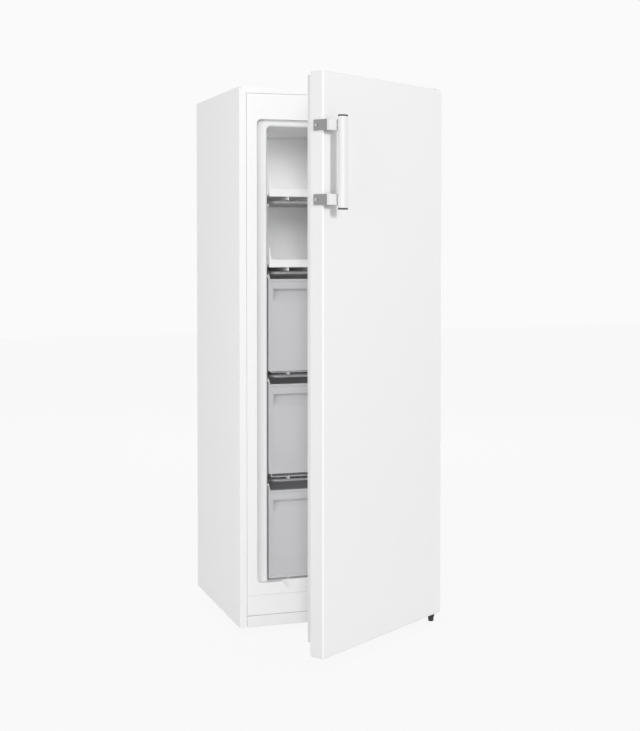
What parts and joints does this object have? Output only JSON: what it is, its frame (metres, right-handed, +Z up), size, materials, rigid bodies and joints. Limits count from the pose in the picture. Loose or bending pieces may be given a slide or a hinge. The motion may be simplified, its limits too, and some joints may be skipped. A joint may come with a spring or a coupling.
{
  "type": "upright freezer",
  "caption": "Upright freezer with one hinged door standing ajar, a bar handle, open evaporator shelves and pull-out drawers.",
  "frame": {"origin": "on the floor, under the middle of the case's width and under the middle of the whole object's depth as it stands with its door ajar", "axes": "+Z up, the door faces -Y, +X to the right as seen from the front (the hinge side)"},
  "size_m": [0.5607, 0.8926, 1.4702],
  "materials": {
    "case_white_paint": "satin",
    "zinc_sheet": "satin",
    "liner_white": "gloss",
    "foam": "matte",
    "trim_white": "satin",
    "drawer_plastic": "gloss",
    "tube_coating": "satin",
    "black_paint": "satin",
    "black_plastic": "matte",
    "rubber_black": "matte",
    "copper": "satin",
    "steel": "satin",
    "seal_white": "matte",
    "magnet": "matte",
    "handle_metal": "satin",
    "handle_white": "gloss"
  },
  "bodies": {
    "cabinet": {"case_wrap": "case_white_paint", "back_panel": "zinc_sheet", "base_plate": "zinc_sheet", "cabinet_foam": "foam", "inner_liner": "liner_white", "front_rail": "case_white_paint", "plinth": "trim_white", "base_rail_left": "zinc_sheet", "base_rail_right": "zinc_sheet", "compressor_tray": "zinc_sheet", "compressor": "black_paint", "compressor_grommets": "rubber_black", "terminal_cover": "black_plastic", "suction_pipe": "copper", "discharge_pipe": "copper", "filter_drier": "copper", "condenser_tube": "black_paint", "condenser_wires": "black_paint", "condenser_brackets": "black_plastic", "evaporator_tube_1": "tube_coating", "evaporator_tube_2": "tube_coating", "evaporator_tube_3": "tube_coating", "evaporator_tube_4": "tube_coating", "evaporator_straps": "tube_coating", "evaporator_wires": "tube_coating", "evaporator_clips": "black_plastic", "shelf_board_1": "trim_white", "shelf_board_2": "trim_white", "thermostat_housing": "trim_white", "thermostat_spindle": "steel", "upper_hinge_plate": "black_paint", "upper_hinge_pin": "steel", "lower_hinge_plate": "black_paint", "lower_hinge_pin": "steel", "hinge_screws": "steel", "roller_axles": "zinc_sheet"},
    "door": {"door_skin": "case_white_paint", "door_top_cap": "trim_white", "door_bottom_cap": "trim_white", "door_foam": "foam", "door_liner": "liner_white", "door_seal": "seal_white", "seal_magnets": "magnet", "hinge_bushes": "trim_white", "handle_bracket_upper": "handle_metal", "handle_bracket_lower": "handle_metal", "handle_bar": "handle_white", "handle_ends": "black_plastic", "handle_screws": "steel"},
    "drawer_1": {"drawer_front_1": "drawer_plastic", "drawer_tub_1": "drawer_plastic"},
    "drawer_2": {"drawer_front_2": "drawer_plastic", "drawer_tub_2": "drawer_plastic"},
    "drawer_3": {"drawer_front_3": "drawer_plastic", "drawer_tub_3": "drawer_plastic"},
    "knob": {"thermostat_knob": "trim_white"},
    "foot_left": {"front_foot_left": "black_plastic"},
    "foot_right": {"front_foot_right": "black_plastic"},
    "roller_left": {"rear_roller_left": "black_plastic"},
    "roller_right": {"rear_roller_right": "black_plastic"}
  },
  "joints": [
    {"name": "door_hinge", "type": "hinge", "parent": "cabinet", "child": "door", "pos_m": [0.2648, -0.0912, 0.74], "axis": [0, 0, 1], "range_deg": [-35.1, 90]},
    {"name": "drawer_1_slide", "type": "slide", "parent": "cabinet", "child": "drawer_1", "axis": [0, -1, 0], "range_m": [0, 0.055]},
    {"name": "drawer_2_slide", "type": "slide", "parent": "cabinet", "child": "drawer_2", "axis": [0, -1, 0], "range_m": [0, 0.055]},
    {"name": "drawer_3_slide", "type": "slide", "parent": "cabinet", "child": "drawer_3", "axis": [0, -1, 0], "range_m": [0, 0.055]},
    {"name": "thermostat_turn", "type": "hinge", "parent": "cabinet", "child": "knob", "pos_m": [0.143, -0.033, 1.341], "axis": [0, -1, 0], "range_deg": [0, 270]},
    {"name": "foot_left_turn", "type": "hinge", "parent": "cabinet", "child": "foot_left", "pos_m": [-0.236, 0.029, 0.007], "axis": [0, 0, 1], "continuous": true},
    {"name": "foot_right_turn", "type": "hinge", "parent": "cabinet", "child": "foot_right", "pos_m": [0.2648, -0.0912, 0.007], "axis": [0, 0, 1], "continuous": true},
    {"name": "roller_left_spin", "type": "hinge", "parent": "cabinet", "child": "roller_left", "pos_m": [-0.236, 0.387, 0.017], "axis": [1, 0, 0], "continuous": true},
    {"name": "roller_right_spin", "type": "hinge", "parent": "cabinet", "child": "roller_right", "pos_m": [0.236, 0.387, 0.017], "axis": [1, 0, 0], "continuous": true}
  ]
}
